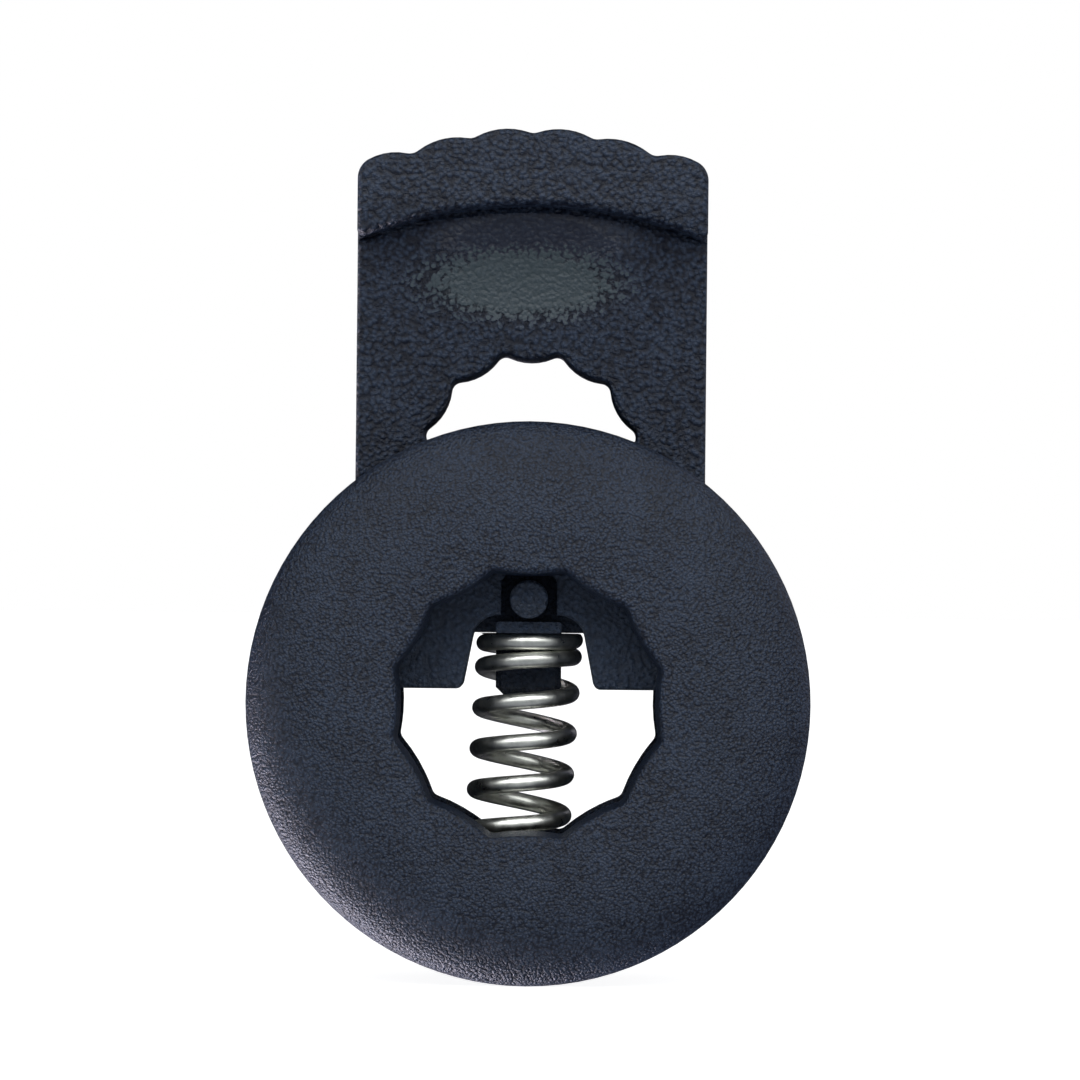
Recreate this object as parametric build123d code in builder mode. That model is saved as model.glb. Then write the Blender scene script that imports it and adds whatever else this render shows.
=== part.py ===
from build123d import *

import os
from math import asin, cos, degrees, hypot, radians, sin, tan

# Single-hole disc cord lock: a moulded housing, a sprung slide plunger and a steel spring.
# The origin is the centre of the cord hole. +Z points up along the plunger's slide axis,
# the cord runs along Y, and the front face looks towards -Y. All lengths are millimetres.

# Housing
disc_radius = 10.0
disc_half_thickness = 4.3
rim_half_width = 2.7  # straight band around the rim, before the dome starts
land_radius = 5.75  # outer radius of the flat ring around the cord hole
hole_edge_round = 0.2

# Cord hole: a ring of inward lobes that grip the cord
lobe_count = 12
hole_cusp_radius = 4.91
hole_tip_radius = 4.62
hole_draft = 0.12  # how much the hole narrows from the face to the slot
hole_cusp_round = 0.35

# Plunger plate and the slot it slides in
plate_width = 12.43
plate_thickness = 4.1
slide_clearance = 0.15
plate_top = 18.0  # hidden inside the thumb pad
leg_bottom = 0.5
leg_corner_round = 1.2
plate_edge_round = 0.18
slot_floor = -5.75

# Thumb pad at the top of the plunger
pad_thickness = 5.7
pad_lobes_per_side = 3
pad_arc_radius = 12.0
pad_arc_top = 20.18
pad_lobe_rise = 0.27
pad_valley_round = 0.5
pad_corner_round = 0.75
pad_corner_height = 18.95  # where the outer lobes would meet the sides
pad_edge_round = 0.22
step_arc_radius = 16.2
step_arc_top = 17.66
step_round = 0.3
groove_width = 0.28
groove_depth = 0.13

# Thumb dip in each face of the plate
dip_centre = 15.3
dip_half_width = 3.5
dip_half_height = 2.0
dip_depth = 0.16

# Window in the plunger
window_centre = 8.63
window_cusp_radius = 4.03
window_tip_radius = 3.585
window_cusp_round = 0.35

# Arch between the legs
arch_top = 3.13
arch_top_half_width = 1.85
arch_bottom_half_width = 2.36
arch_round = 1.0
leg_inner_round = 0.25

# Catch nub, its recess, and the spring's seat and post
nub_radius = 0.68
nub_centre = 3.7
nub_reach = 2.95
nub_edge_round = 0.18
nub_ramp_start = 0.15  # below the nub's centre, where its lead-in ramp begins
nub_ramp_depth = 0.5
nub_dimple_ball = 0.3  # radius of the ball that dents the nub
nub_dimple_depth = 0.08
recess_half_width = 1.0
recess_top = 4.6
recess_corner_round = 0.4
web_half_thickness = 1.0
web_bottom = 2.5
web_half_width = 2.1  # runs a little into both legs
seat_half_width = 1.17
seat_top = 2.89
seat_bottom = 2.49
seat_corner_round = 0.12
seat_half_thickness = 1.95
post_bottom = 0.25
post_half_width = 1.17
post_flat_half_width = 0.95
post_half_thickness = 0.68
post_side_half_thickness = 0.35
post_tip_chamfer = 0.3

# Spring, and the pocket under the slot that holds its foot
wire_diameter = 0.6
coil_radius = 1.61
coil_lean = 3.2  # degrees: the foot stands off to one side of the pocket
closed_pitch = 0.6
foot_closed_turns = 1.25
top_closed_turns = 1.7  # the last half of a turn is ground flat under the seat
active_pitch = 1.4665
coil_tip_height = 2.63  # centre of the wire at its upper end, before grinding
coil_centred_height = 1.6  # where the coil's axis crosses the post's
grinding_gap = 0.02  # between the ground end and the seat
pocket_half_width = 2.85
pocket_floor = -8.75
pocket_corner_round = 0.8
coil_foot_height = -8.31


def on_circle(radius, angle, height=0.0):
    """Point at an angle from straight up, on a circle centred at the given height."""
    return (radius * sin(radians(angle)), height + radius * cos(radians(angle)))


def lobed_ring(cusp_radius, tip_radius, height):
    """Closed line of equal arcs that bulge towards the centre and meet in outward cusps."""
    step = 360 / lobe_count
    rise = cusp_radius * cos(radians(step / 2)) - tip_radius
    for lobe in range(lobe_count):
        start = on_circle(cusp_radius, (lobe - 0.5) * step, height)
        tip = on_circle(cusp_radius * cos(radians(step / 2)) - rise, lobe * step, height)
        end = on_circle(cusp_radius, (lobe + 0.5) * step, height)
        ThreePointArc(start, tip, end)


def pad_top_line():
    """Scalloped top of the thumb pad, from the left side to the right side."""
    step = degrees(asin(plate_width / 2 / pad_arc_radius)) / pad_lobes_per_side
    inner = range(1 - pad_lobes_per_side, pad_lobes_per_side)
    valleys = [on_circle(pad_arc_radius, n * step, pad_arc_top - pad_arc_radius) for n in inner]
    ends = [(-plate_width / 2, pad_corner_height), *valleys, (plate_width / 2, pad_corner_height)]
    for (x0, z0), (x1, z1) in zip(ends, ends[1:]):
        rise = pad_lobe_rise / hypot(x1 - x0, z1 - z0)
        crest = ((x0 + x1) / 2 - (z1 - z0) * rise, (z0 + z1) / 2 + (x1 - x0) * rise)
        ThreePointArc((x0, z0), crest, (x1, z1))


slot_half_width = plate_width / 2 + slide_clearance
slot_half_thickness = plate_thickness / 2 + slide_clearance

# ---------------------------------------------------------------- housing
with BuildPart() as housing:
    # Lens-shaped disc: flat ring, elliptical dome, straight rim band, and the same behind
    with BuildSketch(Plane.XY):
        with BuildLine():
            dome_depth = disc_half_thickness - rim_half_width
            dome_width = disc_radius - land_radius
            Line((0, -disc_half_thickness), (land_radius, -disc_half_thickness))
            EllipticalCenterArc(
                (land_radius, -rim_half_width), dome_width, dome_depth, 270, arc_size=90
            )
            Line((disc_radius, -rim_half_width), (disc_radius, rim_half_width))
            EllipticalCenterArc(
                (land_radius, rim_half_width), dome_width, dome_depth, 0, arc_size=90
            )
            Line((land_radius, disc_half_thickness), (0, disc_half_thickness))
            Line((0, disc_half_thickness), (0, -disc_half_thickness))
        make_face()
    revolve(axis=Axis.Y)

    # Slot for the plunger, open at the top of the rim
    with BuildSketch(Plane.XZ):
        with Locations((0, (disc_radius + slot_floor) / 2 + 1)):
            Rectangle(2 * slot_half_width, disc_radius - slot_floor + 2)
        fillet(vertices().group_by(Axis.Y)[0], leg_corner_round)
    extrude(amount=slot_half_thickness, both=True, mode=Mode.SUBTRACT)

    # Pocket under the slot for the spring's foot
    with BuildSketch(Plane.XZ):
        with Locations((0, (slot_floor + pocket_floor) / 2 + 0.5)):
            Rectangle(2 * pocket_half_width, slot_floor - pocket_floor + 1)
        fillet(vertices().group_by(Axis.Y)[0], pocket_corner_round)
    extrude(amount=slot_half_thickness, both=True, mode=Mode.SUBTRACT)

    # Cord hole, narrowing from each face to the slot
    for side in (-1, 1):
        face_plane = Plane.XZ.offset(-side * (disc_half_thickness + 0.01))
        slot_plane = Plane.XZ.offset(-side * (slot_half_thickness - 0.01))
        with BuildSketch(face_plane):
            with BuildLine():
                lobed_ring(hole_cusp_radius, hole_tip_radius, 0)
            make_face()
            fillet(vertices(), hole_cusp_round)
        with BuildSketch(slot_plane):
            with BuildLine():
                lobed_ring(hole_cusp_radius - hole_draft, hole_tip_radius - hole_draft, 0)
            make_face()
            fillet(vertices(), hole_cusp_round)
        loft(ruled=True, mode=Mode.SUBTRACT)

    # Soft edge around the mouth of the hole on both faces
    lands = faces().filter_by(lambda face: abs(face.center().Y) > disc_half_thickness - 0.01)
    fillet([edge for land in lands for edge in land.inner_wires()[0].edges()], hole_edge_round)
housing.part.label = "housing"

# ---------------------------------------------------------------- plunger
half_width = plate_width / 2
half_thickness = plate_thickness / 2
with BuildPart() as plunger:
    # Plate with the arch between its legs
    with BuildSketch(Plane.XZ):
        with BuildLine():
            Polyline(
                (half_width, plate_top),
                (half_width, leg_bottom),
                (arch_bottom_half_width, leg_bottom),
                (arch_top_half_width, arch_top),
                (-arch_top_half_width, arch_top),
                (-arch_bottom_half_width, leg_bottom),
                (-half_width, leg_bottom),
                (-half_width, plate_top),
                close=True,
            )
        make_face()
        feet = vertices().group_by(Axis.Y)[0].sort_by(Axis.X)
        fillet([feet[0], feet[3]], leg_corner_round)
        feet = vertices().group_by(Axis.Y)[0].sort_by(Axis.X)
        fillet([feet[1], feet[2]], leg_inner_round)
        fillet(vertices().filter_by_position(Axis.Y, arch_top - 0.01, arch_top + 0.01), arch_round)
    extrude(amount=half_thickness, both=True)

    # Lobed window
    with BuildSketch(Plane.XZ):
        with BuildLine():
            lobed_ring(window_cusp_radius, window_tip_radius, window_centre)
        make_face()
        fillet(vertices(), window_cusp_round)
    extrude(amount=half_thickness, both=True, mode=Mode.SUBTRACT)

    # Rounded edges on both faces of the plate
    plate_faces = faces().filter_by(Plane.XZ).filter_by(
        lambda face: abs(face.center().Y) > half_thickness - 0.01
    )
    fillet(plate_faces.edges(), plate_edge_round)

    # V groove under the pad's step
    step_axis = Axis((0, 0, step_arc_top - step_arc_radius), (0, 1, 0))
    for side in (-1, 1):
        with BuildSketch(Plane.YZ):
            with BuildLine():
                Polyline(
                    (side * (half_thickness + 0.02), step_arc_top),
                    (side * (half_thickness - groove_depth), step_arc_top - 0.04),
                    (side * (half_thickness + 0.02), step_arc_top - groove_width),
                    close=True,
                )
            make_face()
        revolve(axis=step_axis, mode=Mode.SUBTRACT)

    # Shallow thumb dip, an oval cut from each face
    dip_floor = half_thickness - dip_depth
    dip_turn_radius = (dip_half_height**2 + dip_depth**2) / (2 * dip_depth)
    for side in (-1, 1):
        with BuildSketch(Plane.XY.offset(dip_centre)):
            with BuildLine():
                rim = side * half_thickness
                ThreePointArc((-dip_half_width, rim), (0, side * dip_floor), (dip_half_width, rim))
                Polyline(
                    (dip_half_width, rim),
                    (dip_half_width, rim + side * dip_depth),
                    (-dip_half_width, rim + side * dip_depth),
                    (-dip_half_width, rim),
                )
            make_face()
        dip_axis = Axis((0, side * (dip_floor + dip_turn_radius), dip_centre), (1, 0, 0))
        revolve(axis=dip_axis, mode=Mode.SUBTRACT)

    # Thumb pad, proud of both faces, with a scalloped top and an arched lower edge
    step_side = step_arc_top - step_arc_radius + (step_arc_radius**2 - half_width**2) ** 0.5
    with BuildSketch(Plane.XZ):
        with BuildLine():
            pad_top_line()
            Line((half_width, pad_corner_height), (half_width, step_side))
            ThreePointArc((half_width, step_side), (0, step_arc_top), (-half_width, step_side))
            Line((-half_width, step_side), (-half_width, pad_corner_height))
        make_face()
        corners = vertices().sort_by(Axis.X)
        top_corners = [corners[:2].sort_by(Axis.Y)[-1], corners[-2:].sort_by(Axis.Y)[-1]]
        fillet(top_corners, pad_corner_round)
        fillet(vertices().filter_by_position(Axis.X, -4.5, 4.5), pad_valley_round)
    extrude(amount=pad_thickness / 2, both=True)
    pad_faces = faces().filter_by(Plane.XZ).filter_by(
        lambda face: abs(face.center().Y) > pad_thickness / 2 - 0.01
    )
    step_edges = pad_faces.edges().filter_by(
        lambda edge: abs(edge.center().Z - step_arc_top) < 0.6 and edge.length > half_width
    )
    fillet(step_edges, step_round)
    pad_faces = faces().filter_by(Plane.XZ).filter_by(
        lambda face: abs(face.center().Y) > pad_thickness / 2 - 0.01
    )
    top_edges = pad_faces.edges().filter_by(
        lambda edge: edge.center().Z > step_side + 0.3 and edge.length < half_width
    )
    fillet(top_edges, pad_edge_round)

    # Recess around each catch nub, open to the arch
    for side in (-1, 1):
        recess_depth = half_thickness - web_half_thickness
        with BuildSketch(Plane.XZ.offset(-side * web_half_thickness)):
            with Locations((0, (recess_top + arch_top) / 2 - 0.5)):
                Rectangle(2 * recess_half_width, recess_top - arch_top + 1)
            fillet(vertices().group_by(Axis.Y)[-1], recess_corner_round)
        extrude(amount=-side * recess_depth, mode=Mode.SUBTRACT)

    # Web down to the spring's seat, the seat, and the post inside the spring
    with BuildSketch(Plane.XZ):
        with Locations((0, (arch_top + seat_bottom) / 2)):
            Rectangle(2 * recess_half_width, arch_top - seat_bottom)
        with Locations((0, (arch_top + web_bottom) / 2)):
            Rectangle(2 * web_half_width, arch_top - web_bottom)
    extrude(amount=web_half_thickness, both=True)
    with BuildSketch(Plane.XZ):
        with Locations((0, (seat_top + seat_bottom) / 2)):
            Rectangle(2 * seat_half_width, seat_top - seat_bottom)
            fillet(vertices(), seat_corner_round)
    extrude(amount=seat_half_thickness, both=True)
    with BuildSketch(Plane.XY.offset(post_bottom)):
        with BuildLine():
            quarter = [
                (post_half_width, post_side_half_thickness),
                (post_flat_half_width, post_half_thickness),
            ]
            Polyline(
                *quarter,
                *[(-x, y) for x, y in reversed(quarter)],
                *[(-x, -y) for x, y in quarter],
                *[(x, -y) for x, y in reversed(quarter)],
                close=True,
            )
        make_face()
    extrude(amount=seat_bottom - post_bottom)
    chamfer(faces().sort_by(Axis.Z)[0].edges(), post_tip_chamfer)

    # Catch nubs: a round boss with a soft edge, a small dimple and a lead-in ramp below
    for side in (-1, 1):
        with BuildSketch(Plane.XZ.offset(-side * web_half_thickness)):
            with Locations((0, nub_centre)):
                Circle(nub_radius)
        extrude(amount=-side * (nub_reach - web_half_thickness))
        nub_face = faces().sort_by(Axis.Y)[0 if side < 0 else -1]
        fillet(nub_face.edges(), nub_edge_round)
        with Locations((0, side * (nub_reach + nub_dimple_ball - nub_dimple_depth), nub_centre)):
            Sphere(nub_dimple_ball, mode=Mode.SUBTRACT)
        with BuildSketch(Plane.YZ):
            with BuildLine():
                Polyline(
                    (side * (nub_reach + 0.1), nub_centre - nub_ramp_start),
                    (side * nub_reach, nub_centre - nub_ramp_start),
                    (side * (nub_reach - nub_ramp_depth), nub_centre - nub_radius - 0.05),
                    (side * (nub_reach + 0.1), nub_centre - nub_radius - 0.05),
                    close=True,
                )
            make_face()
        extrude(amount=nub_radius, both=True, mode=Mode.SUBTRACT)
plunger.part.label = "plunger"

# ---------------------------------------------------------------- spring
lean = radians(coil_lean)
coil_frame = Plane(
    origin=(-(coil_centred_height - coil_foot_height) * tan(lean), 0, coil_foot_height),
    x_dir=(cos(lean), 0, -sin(lean)),
    z_dir=(sin(lean), 0, cos(lean)),
)
coil_height = (coil_tip_height - coil_foot_height) / cos(lean)
foot_closed_height = foot_closed_turns * closed_pitch
top_closed_height = top_closed_turns * closed_pitch
active_height = coil_height - foot_closed_height - top_closed_height
coil_turns = foot_closed_turns + active_height / active_pitch + top_closed_turns


def coil_path():
    """Right-handed helix with a closed end, an open middle and a closed end, tip at local -X."""
    runs = [
        (closed_pitch, foot_closed_height),
        (active_pitch, active_height),
        (closed_pitch, top_closed_height),
    ]
    turned = 180 - 360 * coil_turns
    climbed = 0
    for pitch, height in runs:
        yield coil_frame * Pos(0, 0, climbed) * Rot(0, 0, turned) * Helix(pitch, height, coil_radius)
        turned += 360 * height / pitch
        climbed += height


coil_wire = Wire(list(coil_path()))
with BuildPart() as spring:
    with BuildSketch(Plane(origin=coil_wire @ 0, z_dir=coil_wire % 0)):
        Circle(wire_diameter / 2)
    sweep(path=coil_wire, is_frenet=True)
    with Locations((0, 0, seat_bottom - grinding_gap)):
        Box(
            4 * coil_radius,
            4 * coil_radius,
            4 * wire_diameter,
            align=(Align.CENTER, Align.CENTER, Align.MIN),
            mode=Mode.SUBTRACT,
        )
spring.part.label = "spring"

os.makedirs("parts", exist_ok=True)
export_step(housing.part, "parts/housing.step")
export_step(plunger.part, "parts/plunger.step")
export_step(spring.part, "parts/spring.step")
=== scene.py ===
import math

import bpy
from mathutils import Matrix, Vector


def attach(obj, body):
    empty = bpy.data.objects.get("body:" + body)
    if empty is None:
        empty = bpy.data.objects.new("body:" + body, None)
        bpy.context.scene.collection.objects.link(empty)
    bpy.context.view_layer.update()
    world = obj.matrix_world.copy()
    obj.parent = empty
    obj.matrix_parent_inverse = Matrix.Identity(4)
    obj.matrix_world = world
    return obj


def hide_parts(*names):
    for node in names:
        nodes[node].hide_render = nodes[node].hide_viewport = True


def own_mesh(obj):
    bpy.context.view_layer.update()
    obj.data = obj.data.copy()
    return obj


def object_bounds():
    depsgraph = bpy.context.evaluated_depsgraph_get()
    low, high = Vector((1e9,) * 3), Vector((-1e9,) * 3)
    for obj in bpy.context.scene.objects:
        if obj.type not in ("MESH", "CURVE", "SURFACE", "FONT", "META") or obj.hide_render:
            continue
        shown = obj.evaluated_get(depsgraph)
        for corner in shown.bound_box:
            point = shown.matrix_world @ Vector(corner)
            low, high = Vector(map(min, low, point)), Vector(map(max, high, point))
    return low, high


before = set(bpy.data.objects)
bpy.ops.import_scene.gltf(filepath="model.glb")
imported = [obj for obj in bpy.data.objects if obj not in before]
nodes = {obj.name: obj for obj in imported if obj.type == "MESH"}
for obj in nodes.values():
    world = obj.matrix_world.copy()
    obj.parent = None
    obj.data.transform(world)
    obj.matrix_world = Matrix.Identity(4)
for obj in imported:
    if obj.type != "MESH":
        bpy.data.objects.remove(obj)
cad_low, cad_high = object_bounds()
MM = 0.001


# ---------------------------------------------------------------- material helpers
class Graph:
    """A material's node tree, with short ways to add and join its nodes."""

    def __init__(self, name):
        self.material = bpy.data.materials.new(name)
        self.material.use_nodes = True
        self.tree = self.material.node_tree
        self.tree.nodes.clear()
        self.shader = self.tree.nodes.new("ShaderNodeBsdfPrincipled")
        output = self.tree.nodes.new("ShaderNodeOutputMaterial")
        self.join(self.shader.outputs[0], output.inputs["Surface"])
        self.place = self.tree.nodes.new("ShaderNodeTexCoord").outputs["Object"]

    def join(self, source, target):
        self.tree.links.new(source, target)

    def give(self, socket, value):
        """Set a socket to a constant, or join it to another node's output."""
        if isinstance(value, bpy.types.NodeSocket):
            self.join(value, socket)
        else:
            socket.default_value = value

    def look(self, name, value):
        self.give(self.shader.inputs[name], value)

    def noise(self, scale, detail=2.0, rough=0.5):
        node = self.tree.nodes.new("ShaderNodeTexNoise")
        self.join(self.place, node.inputs["Vector"])
        node.inputs["Scale"].default_value = scale
        node.inputs["Detail"].default_value = detail
        node.inputs["Roughness"].default_value = rough
        return node.outputs["Fac"]

    def cells(self, scale, smooth=0.4):
        node = self.tree.nodes.new("ShaderNodeTexVoronoi")
        node.feature = "SMOOTH_F1"
        self.join(self.place, node.inputs["Vector"])
        node.inputs["Scale"].default_value = scale
        node.inputs["Smoothness"].default_value = smooth
        return node.outputs["Distance"]

    def axes(self):
        node = self.tree.nodes.new("ShaderNodeSeparateXYZ")
        self.join(self.place, node.inputs[0])
        return node.outputs

    def math(self, kind, a, b=0.0):
        node = self.tree.nodes.new("ShaderNodeMath")
        node.operation = kind
        self.give(node.inputs[0], a)
        self.give(node.inputs[1], b)
        return node.outputs[0]

    def span(self, value, low, high, to_low=0.0, to_high=1.0, smooth=False):
        """Carry the range low..high of a value over to to_low..to_high, and hold it at both ends."""
        node = self.tree.nodes.new("ShaderNodeMapRange")
        node.interpolation_type = "SMOOTHSTEP" if smooth else "LINEAR"
        for socket, number in zip(node.inputs[:5], (value, low, high, to_low, to_high)):
            self.give(socket, number)
        return node.outputs[0]

    def blend(self, share, first, second):
        node = self.tree.nodes.new("ShaderNodeMix")
        node.data_type = "RGBA"
        self.give(node.inputs[0], share)
        self.give(node.inputs[6], first)
        self.give(node.inputs[7], second)
        return node.outputs[2]

    def bump(self, height, distance):
        node = self.tree.nodes.new("ShaderNodeBump")
        node.inputs["Strength"].default_value = 1.0
        node.inputs["Distance"].default_value = distance
        self.join(height, node.inputs["Height"])
        return node.outputs[0]

    def oval(self, across, up, middle, half_width, half_height, inner, outer, ragged=0.0):
        """1 inside an upright oval that runs right through the piece, and 0 outside it."""
        x = self.math("DIVIDE", across, half_width)
        z = self.math("DIVIDE", self.math("SUBTRACT", up, middle), half_height)
        squares = self.math("ADD", self.math("POWER", x, 2.0), self.math("POWER", z, 2.0))
        reach = self.math("ADD", self.math("SQRT", squares), ragged)
        return self.span(reach, inner, outer, 1.0, 0.0, smooth=True)


def use(obj, material):
    obj.data.materials.clear()
    obj.data.materials.append(material)


# ---------------------------------------------------------------- plastic pieces
MIDDLE_NOISE = (0.3, 0.7)  # most of a noise's values lie in this range

# Colours of the slate plastic, in order: grain pits with painted shade, grain tops with painted light, a
# painted shade band, painted shade in the recess, painted light on the legs, and the two greys of a
# painted sheen
GRAIN_PIT_SHADE = (0.0015, 0.0028, 0.0085, 1)
GRAIN_TOP_LIGHT = (0.0175, 0.0285, 0.0540, 1)
SHADED = (0.003, 0.005, 0.014, 1)
DEEP_SHADE = (0.0015, 0.0025, 0.006, 1)
LEG_LIGHT = (0.030, 0.043, 0.068, 1)
SHEEN_GREYS = ((0.012, 0.021, 0.027, 1), (0.028, 0.041, 0.048, 1))

DISC_GRAIN = 0.105 * MM  # size of a pebble
DISC_RELIEF = 0.05 * MM
SLIDE_GRAIN = 0.17 * MM
SLIDE_RELIEF = 0.13 * MM
PATCH_GRAIN = 600  # colour patches a metre, on both pieces

# Oval on the plunger's plate with a painted sheen and smoother grain, and the painted shade band above
# it
SHEEN_HEIGHT = 14.9 * MM
SHEEN_ASIDE = 0.35 * MM
SHEEN_HALF_WIDTH = 4.4 * MM
SHEEN_HALF_HEIGHT = 1.6 * MM
SHADE_HEIGHT = 16.55 * MM
SHADE_HALF_WIDTH = 4.3 * MM
SHADE_HALF_HEIGHT = 1.15 * MM


def plastic(name, grain):
    """Moulded plastic with a pebbled grain: its graph, the grain's height and the fine noise in it."""
    g = Graph(name)
    pebbles = g.cells(1 / grain)
    fine = g.noise(1.7 / grain, 3.0, 0.6)
    height = g.math("ADD", g.math("MULTIPLY", pebbles, -1.0), g.math("MULTIPLY", fine, 1.1))
    g.look("Specular IOR Level", 0.36)
    g.look("Roughness", g.span(fine, *MIDDLE_NOISE, 0.28, 0.46))
    return g, height, fine


def speckle_with_shade(g, height):
    """Colour of the grain: painted shade darkens its pits and painted light brightens its tops, and it
    is a little patchy.
    """
    patches = g.span(g.noise(PATCH_GRAIN, 3.0), *MIDDLE_NOISE, -0.12, 0.12)
    # Tone follows the grain's height, so pits get painted shade and tops get painted light; the patches
    # are random tone
    tone = g.math("ADD", g.span(height, -0.2, 0.45), patches)
    return g.blend(tone, GRAIN_PIT_SHADE, GRAIN_TOP_LIGHT)


def disc_plastic():
    g, height, _ = plastic("slate_disc", DISC_GRAIN)
    g.look("Base Color", speckle_with_shade(g, height))
    g.look("Normal", g.bump(height, DISC_RELIEF))
    return g.material


def slide_plastic():
    g, height, fine = plastic("slate_slide", SLIDE_GRAIN)
    across, depth, up = g.axes()
    shade = g.oval(across, up, SHADE_HEIGHT, SHADE_HALF_WIDTH, SHADE_HALF_HEIGHT, 0.55, 1.1)
    # The grain's height makes the painted sheen's edge ragged: pits leave the oval sooner than tops
    aside = g.math("ADD", across, SHEEN_ASIDE)
    ragged = g.span(height, -0.15, 0.45, 0.3, -0.15)
    smooth_sheen = g.oval(aside, up, SHEEN_HEIGHT, SHEEN_HALF_WIDTH, SHEEN_HALF_HEIGHT, 0.8, 1.0, ragged)
    pad = g.span(up, 17.4 * MM, 17.9 * MM)
    # Painted light on the plunger's lower end, the legs seen in the hole
    leg_light = g.span(up, 4.6 * MM, 5.4 * MM, 0.4, 0.0)
    # Painted shade on what lies deep in the middle of the plunger below the window: web, recess, collar
    # and post
    deep_shade = g.span(g.math("ABSOLUTE", depth), 1.0 * MM, 1.5 * MM, 0.4, 0.0)
    deep_shade = g.math("MULTIPLY", deep_shade, g.span(up, 4.7 * MM, 4.8 * MM, 1.0, 0.0))

    tint = g.blend(g.math("MULTIPLY", shade, 0.75), speckle_with_shade(g, height), SHADED)
    # Painted sheen: a paler, greyer colour over the oval
    tint = g.blend(g.math("MULTIPLY", smooth_sheen, 0.85), tint, g.blend(fine, *SHEEN_GREYS))
    # Apply the painted light on the legs
    tint = g.blend(leg_light, tint, LEG_LIGHT)
    # Apply the painted shade deep in the middle
    tint = g.blend(deep_shade, tint, DEEP_SHADE)
    g.look("Base Color", tint)

    coarse = g.math("SUBTRACT", 1.0, g.math("MULTIPLY", g.math("MAXIMUM", shade, smooth_sheen), 0.8))
    coarse = g.math("MULTIPLY", coarse, g.span(pad, 0.0, 1.0, 1.0, 0.6))
    g.look("Normal", g.bump(g.math("MULTIPLY", height, coarse), SLIDE_RELIEF))
    return g.material


use(nodes["housing"], disc_plastic())
use(nodes["plunger"], slide_plastic())

# ---------------------------------------------------------------- spring
WIRE_RADIUS = 0.3 * MM
COIL_RADIUS = 1.61 * MM
LEAN = math.radians(3.2)
FOOT_HEIGHT = -8.31 * MM
TIP_HEIGHT = 2.63 * MM
GROUND_HEIGHT = 2.47 * MM  # the upper end is ground flat here
CENTRED_HEIGHT = 1.6 * MM  # where the coil's axis crosses the post's
CLOSED_PITCH = 0.6 * MM
ACTIVE_PITCH = 1.4665 * MM
FOOT_CLOSED = 1.25  # closed turns
TOP_CLOSED = 1.7
SOFT_TURNS = 0.12  # turns over which the pitch changes
STEPS_PER_TURN = 64
SIDES = 24

coil_height = (TIP_HEIGHT - FOOT_HEIGHT) / math.cos(LEAN)
active_height = coil_height - (FOOT_CLOSED + TOP_CLOSED) * CLOSED_PITCH
turns = FOOT_CLOSED + active_height / ACTIVE_PITCH + TOP_CLOSED
coil_up = Vector((math.sin(LEAN), 0, math.cos(LEAN)))
coil_side = Vector((math.cos(LEAN), 0, -math.sin(LEAN)))
coil_front = coil_up.cross(coil_side)
coil_foot = Vector((-(CENTRED_HEIGHT - FOOT_HEIGHT) * math.tan(LEAN), 0, FOOT_HEIGHT))


def climb(turn):
    """Height of the wire's centre along the coil's axis, after so many turns from the foot."""
    height = turn * CLOSED_PITCH
    extra = ACTIVE_PITCH - CLOSED_PITCH
    for join, sign in ((FOOT_CLOSED, 1), (turns - TOP_CLOSED, -1)):
        past = (turn - join) / SOFT_TURNS
        if past >= 1:
            height += sign * extra * (turn - join)
        elif past > -1:
            height += sign * extra * SOFT_TURNS * (past + 1) ** 2 / 4
    return height


def coil_point(turn):
    """Centre of the wire after so many turns, and the way out from the coil's axis there."""
    angle = math.pi + 2 * math.pi * (turn - turns)
    around = coil_side * math.cos(angle) + coil_front * math.sin(angle)
    return coil_foot + around * COIL_RADIUS + coil_up * climb(turn), around


def wire_ring(turn):
    """Points around the wire at one place along it."""
    nudge = 0.001
    centre, around = coil_point(turn)
    ahead = coil_point(turn + nudge)[0] - coil_point(turn - nudge)[0]
    across = ahead.cross(around).normalized()
    for side in range(SIDES):
        angle = 2 * math.pi * side / SIDES
        point = centre + (around * math.cos(angle) + across * math.sin(angle)) * WIRE_RADIUS
        yield point.x, point.y, min(point.z, GROUND_HEIGHT)


def coil_mesh():
    count = int(turns * STEPS_PER_TURN)
    points = [point for step in range(count + 1) for point in wire_ring(turns * step / count)]
    faces = []
    for step in range(count):
        for side in range(SIDES):
            a = step * SIDES + side
            b = step * SIDES + (side + 1) % SIDES
            faces.append((a, b, b + SIDES, a + SIDES))
    faces.append(tuple(reversed(range(SIDES))))
    faces.append(tuple(range(count * SIDES, (count + 1) * SIDES)))
    mesh = bpy.data.meshes.new("coil_spring")
    mesh.from_pydata(points, [], faces)
    mesh.validate()
    for polygon in mesh.polygons:
        polygon.use_smooth = len(polygon.vertices) == 4
    return mesh


def bare_steel():
    g = Graph("spring_wire")
    mottle = g.span(g.noise(2500, 4.0, 0.6), *MIDDLE_NOISE)
    g.look("Metallic", 1.0)
    g.look("Base Color", g.blend(mottle, (0.66, 0.66, 0.61, 1), (0.94, 0.94, 0.87, 1)))
    g.look("Roughness", g.span(mottle, 0.0, 1.0, 0.26, 0.40))
    g.look("Normal", g.bump(g.noise(9000, 3.0), 0.004 * MM))
    return g.material


scene = bpy.context.scene
spring = bpy.data.objects.new("coil_spring", coil_mesh())
scene.collection.objects.link(spring)
use(spring, bare_steel())
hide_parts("spring")
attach(spring, "housing")
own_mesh(spring)

# ---------------------------------------------------------------- floor
FLOOR_REACH = 3.0


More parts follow.
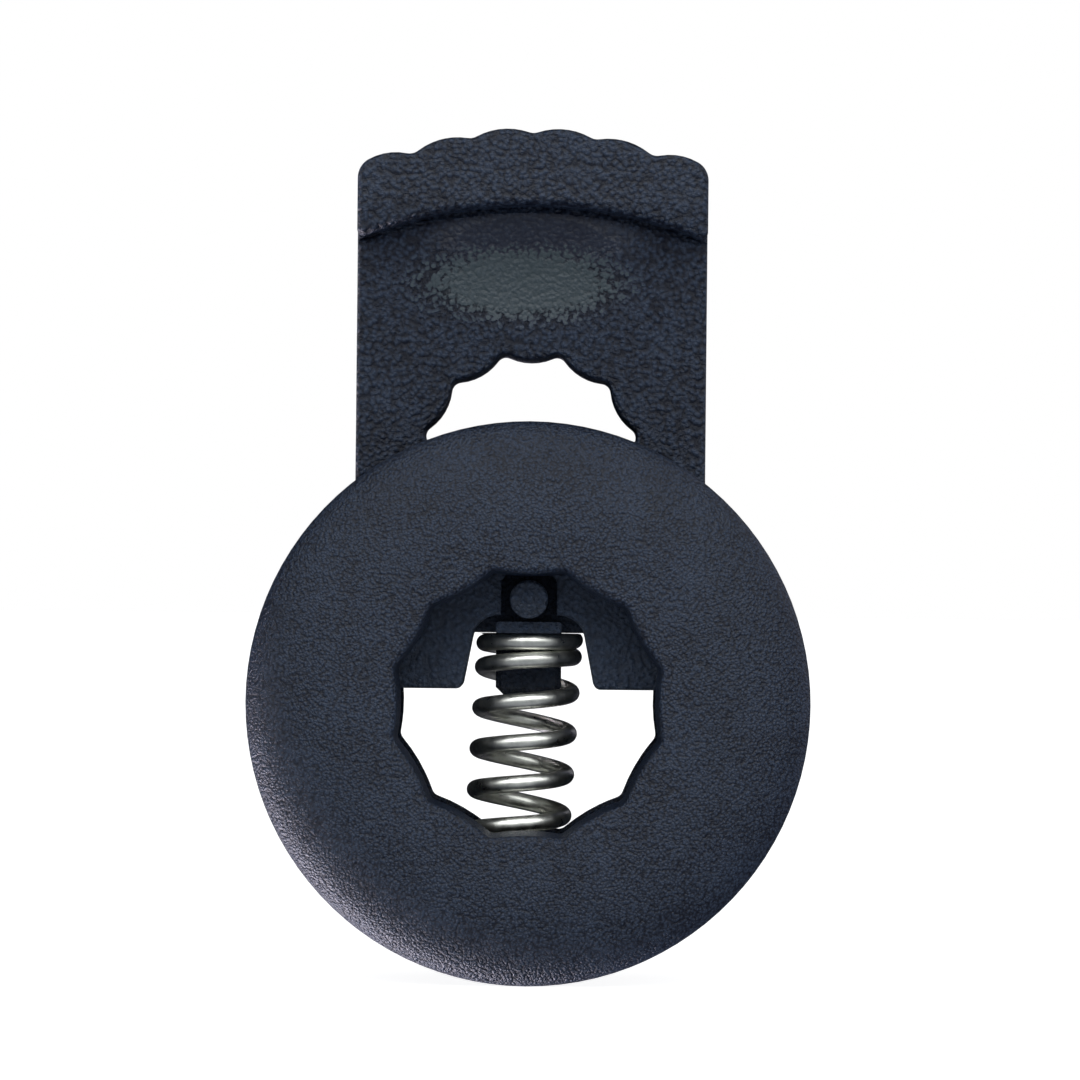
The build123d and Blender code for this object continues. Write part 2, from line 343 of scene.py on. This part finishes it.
def pale_paper():
    """Floor bright enough to pass into the pale surround, with only a faint shadow."""
    g = Graph("pale_floor")
    g.look("Base Color", (0.3, 0.3, 0.3, 1))
    g.look("Roughness", 0.9)
    g.look("Emission Color", (1, 1, 1, 1))
    g.look("Emission Strength", 0.92)
    return g.material


corners = [
    (FLOOR_REACH * x, FLOOR_REACH * y, cad_low[2]) for x, y in ((-1, -1), (1, -1), (1, 1), (-1, 1))
]
floor_mesh = bpy.data.meshes.new("floor")
floor_mesh.from_pydata(corners, [], [(0, 1, 2, 3)])
floor = bpy.data.objects.new("floor", floor_mesh)
scene.collection.objects.link(floor)
use(floor, pale_paper())
floor.visible_glossy = False
floor.visible_shadow = False

# ---------------------------------------------------------------- light
BAND_RISE = math.radians(42)
BAND_COLOUR = (0.90, 0.92, 0.93)


def band_direction(azimuth):
    """Direction of one light of the raised band, turned from straight ahead of the front face."""
    turn = math.radians(azimuth)
    flat = math.cos(BAND_RISE)
    return math.sin(turn) * flat, -math.cos(turn) * flat, math.sin(BAND_RISE)


# Each glow has a direction, the cosines where it is full and where it ends, and a colour
GLOWS = [(band_direction(azimuth), 0.96, 0.80, BAND_COLOUR) for azimuth in (-66, -33, 0, 33, 66)]
GLOWS += [
    ((0, -1, 0), 0.95, -0.1, (0.25, 0.27, 0.29)),  # broad, from the front
    ((0.1, -0.25, 0.95), 0.96, 0.55, (0.28, 0.31, 0.34)),  # overhead
    ((-0.60, 0.42, -0.70), 0.99, 0.94, (24.0, 22.5, 26.5)),  # small and strong, on the lower left rim
    ((0.75, 0.6, 0.25), 0.99, 0.85, (0.6, 0.6, 0.7)),  # behind, on the right rim
    ((0, 0, -1), 0.9, 0.0, (0.10, 0.10, 0.12)),  # from below
]

# The studio: a pale surround that the camera sees, and soft boxes that the object reflects
world = bpy.data.worlds.new("studio")
scene.world = world
world.use_nodes = True
tree = world.node_tree
tree.nodes.clear()
direction = tree.nodes.new("ShaderNodeTexCoord").outputs["Generated"]


def glow_patch(toward, full, end, colour):
    along = tree.nodes.new("ShaderNodeVectorMath")
    along.operation = "DOT_PRODUCT"
    along.inputs[1].default_value = Vector(toward).normalized()
    tree.links.new(direction, along.inputs[0])
    share = tree.nodes.new("ShaderNodeMapRange")
    share.interpolation_type = "SMOOTHSTEP"
    share.inputs["From Min"].default_value = end
    share.inputs["From Max"].default_value = full
    tree.links.new(along.outputs["Value"], share.inputs["Value"])
    tint = tree.nodes.new("ShaderNodeVectorMath")
    tint.operation = "SCALE"
    tint.inputs[0].default_value = colour
    tree.links.new(share.outputs[0], tint.inputs["Scale"])
    return tint.outputs[0]


def added(first, second):
    total = tree.nodes.new("ShaderNodeVectorMath")
    total.operation = "ADD"
    tree.links.new(first, total.inputs[0])
    tree.links.new(second, total.inputs[1])
    return total.outputs[0]


glow = glow_patch(*GLOWS[0])
for row in GLOWS[1:]:
    glow = added(glow, glow_patch(*row))
surround = tree.nodes.new("ShaderNodeBackground")
surround.inputs["Color"].default_value = (1, 1, 1, 1)
lit = tree.nodes.new("ShaderNodeBackground")
tree.links.new(glow, lit.inputs["Color"])
rays = tree.nodes.new("ShaderNodeLightPath")
choose = tree.nodes.new("ShaderNodeMixShader")
world_out = tree.nodes.new("ShaderNodeOutputWorld")
tree.links.new(rays.outputs["Is Camera Ray"], choose.inputs[0])
tree.links.new(lit.outputs[0], choose.inputs[1])
tree.links.new(surround.outputs[0], choose.inputs[2])
tree.links.new(choose.outputs[0], world_out.inputs["Surface"])

key_place = Vector((-0.05, -0.5, 0.38))
key_aim = Vector((0, 0, 0.004))
key = bpy.data.lights.new("key", "AREA")
key.shape = "RECTANGLE"
key.size = 0.5
key.size_y = 0.15
key.energy = 0.45
lamp = bpy.data.objects.new("key", key)
lamp.location = key_place
lamp.rotation_euler = (key_aim - key_place).to_track_quat("-Z", "Y").to_euler()
scene.collection.objects.link(lamp)

# ---------------------------------------------------------------- camera
PICTURE_SIDE = 1080
SCALE_TIMES_DISTANCE = 5858  # picture points to a millimetre, times the camera's distance in millimetres
SENSOR = 36
CAMERA_ROLL = math.radians(0.57)

eye = Vector((0.6, -210, 4.0)) * MM
aim = Vector((0.365, 0, 5.82)) * MM
lens = bpy.data.cameras.new("camera")
lens.sensor_width = SENSOR
lens.lens = SENSOR * SCALE_TIMES_DISTANCE / PICTURE_SIDE
lens.clip_start = 0.01
lens.clip_end = 20
camera = bpy.data.objects.new("camera", lens)
camera.location = eye
facing = (aim - eye).to_track_quat("-Z", "Y").to_matrix()
camera.rotation_euler = (facing @ Matrix.Rotation(CAMERA_ROLL, 3, "Z")).to_euler()
scene.collection.objects.link(camera)
scene.camera = camera
scene.view_settings.view_transform = "Standard"
